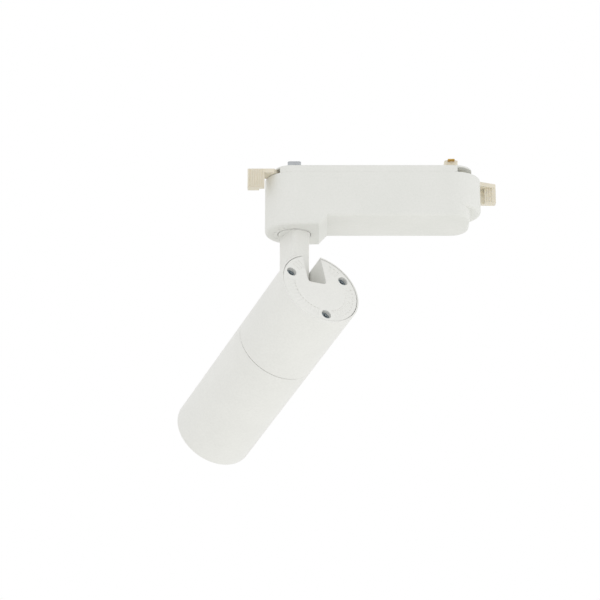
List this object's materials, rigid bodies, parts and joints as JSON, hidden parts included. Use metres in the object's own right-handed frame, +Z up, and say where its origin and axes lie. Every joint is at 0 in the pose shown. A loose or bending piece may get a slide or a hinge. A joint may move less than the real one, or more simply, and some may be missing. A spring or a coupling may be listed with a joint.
{
  "type": "track spotlight",
  "caption": "Track spotlight with a box driver case that clamps under a lighting rail by end levers, and a cylindrical lamp that pans and tilts on a short arm.",
  "frame": {"origin": "centre of the driver case's top face, which meets the rail's underside", "axes": "+X along the rail away from the swivel, +Y across the rail, +Z up into the rail"},
  "size_m": [0.1932, 0.1459, 0.1645],
  "materials": {
    "white_polycarbonate": "satin",
    "white_powder_coat": "satin",
    "ivory_plastic": "satin",
    "zinc_steel": "satin",
    "dark_steel": "satin",
    "bare_aluminium": "satin",
    "reflector_metal": "gloss",
    "brass": "satin",
    "copper_winding": "satin",
    "ferrite": "matte",
    "circuit_laminate": "satin",
    "capacitor_sleeve": "gloss",
    "film_case": "gloss",
    "black_epoxy": "matte",
    "terminal_plastic": "satin",
    "nylon": "satin",
    "led_substrate": "satin",
    "led_phosphor": "gloss",
    "clear_glass": "gloss",
    "black_plastic": "matte",
    "black_rubber": "matte"
  },
  "bodies": {
    "case": {"driver_case": "white_polycarbonate", "case_lid": "white_polycarbonate", "lid_screws": "zinc_steel", "circuit_board": "circuit_laminate", "board_screws": "zinc_steel", "transformer_core": "ferrite", "transformer_winding": "copper_winding", "capacitors": "capacitor_sleeve", "film_capacitor": "film_case", "choke_coil": "copper_winding", "fuse_can": "film_case", "transistor_heatsink": "bare_aluminium", "power_transistor": "black_epoxy", "terminal_block": "terminal_plastic", "pan_bush": "nylon", "stop_pin": "zinc_steel"},
    "left_lever": {"left_lever": "ivory_plastic", "left_lever_clip": "zinc_steel", "left_hook": "zinc_steel", "left_hook_screw": "zinc_steel"},
    "right_lever": {"right_lever": "ivory_plastic", "right_lever_clip": "zinc_steel", "contact_head": "ivory_plastic", "contact_blades": "brass", "contact_screw": "zinc_steel"},
    "arm": {"swivel_arm": "white_powder_coat", "spring_washer": "zinc_steel", "stop_washer": "zinc_steel", "pan_nut": "zinc_steel", "tilt_bush": "nylon"},
    "lamp": {"rear_housing": "white_powder_coat", "rear_cap": "white_powder_coat", "cap_screws": "dark_steel", "front_tube": "white_powder_coat", "heat_sink": "bare_aluminium", "heat_sink_screws": "zinc_steel", "led_board": "led_substrate", "led_board_screws": "zinc_steel", "led_emitter": "led_phosphor", "reflector": "reflector_metal", "lens": "clear_glass", "lens_ring": "black_plastic", "lead_grommet": "black_rubber", "tilt_pin": "zinc_steel", "tilt_nut": "zinc_steel", "tilt_washers": "nylon"}
  },
  "joints": [
    {"name": "left_lock", "type": "hinge", "parent": "case", "child": "left_lever", "pos_m": [-0.04675, 0, 0], "axis": [0, 0, 1], "range_deg": [-90, 0]},
    {"name": "right_lock", "type": "hinge", "parent": "case", "child": "right_lever", "pos_m": [0.04675, 0, 0], "axis": [0, 0, 1], "range_deg": [-90, 0]},
    {"name": "pan", "type": "hinge", "parent": "case", "child": "arm", "pos_m": [-0.04675, 0, -0.0386], "axis": [0, 0, 1], "range_deg": [-190, 132]},
    {"name": "tilt", "type": "hinge", "parent": "arm", "child": "lamp", "pos_m": [-0.04675, 0, -0.0772], "axis": [0.8746, 0.4848, 0], "range_deg": [-68.7, 21.3]}
  ]
}
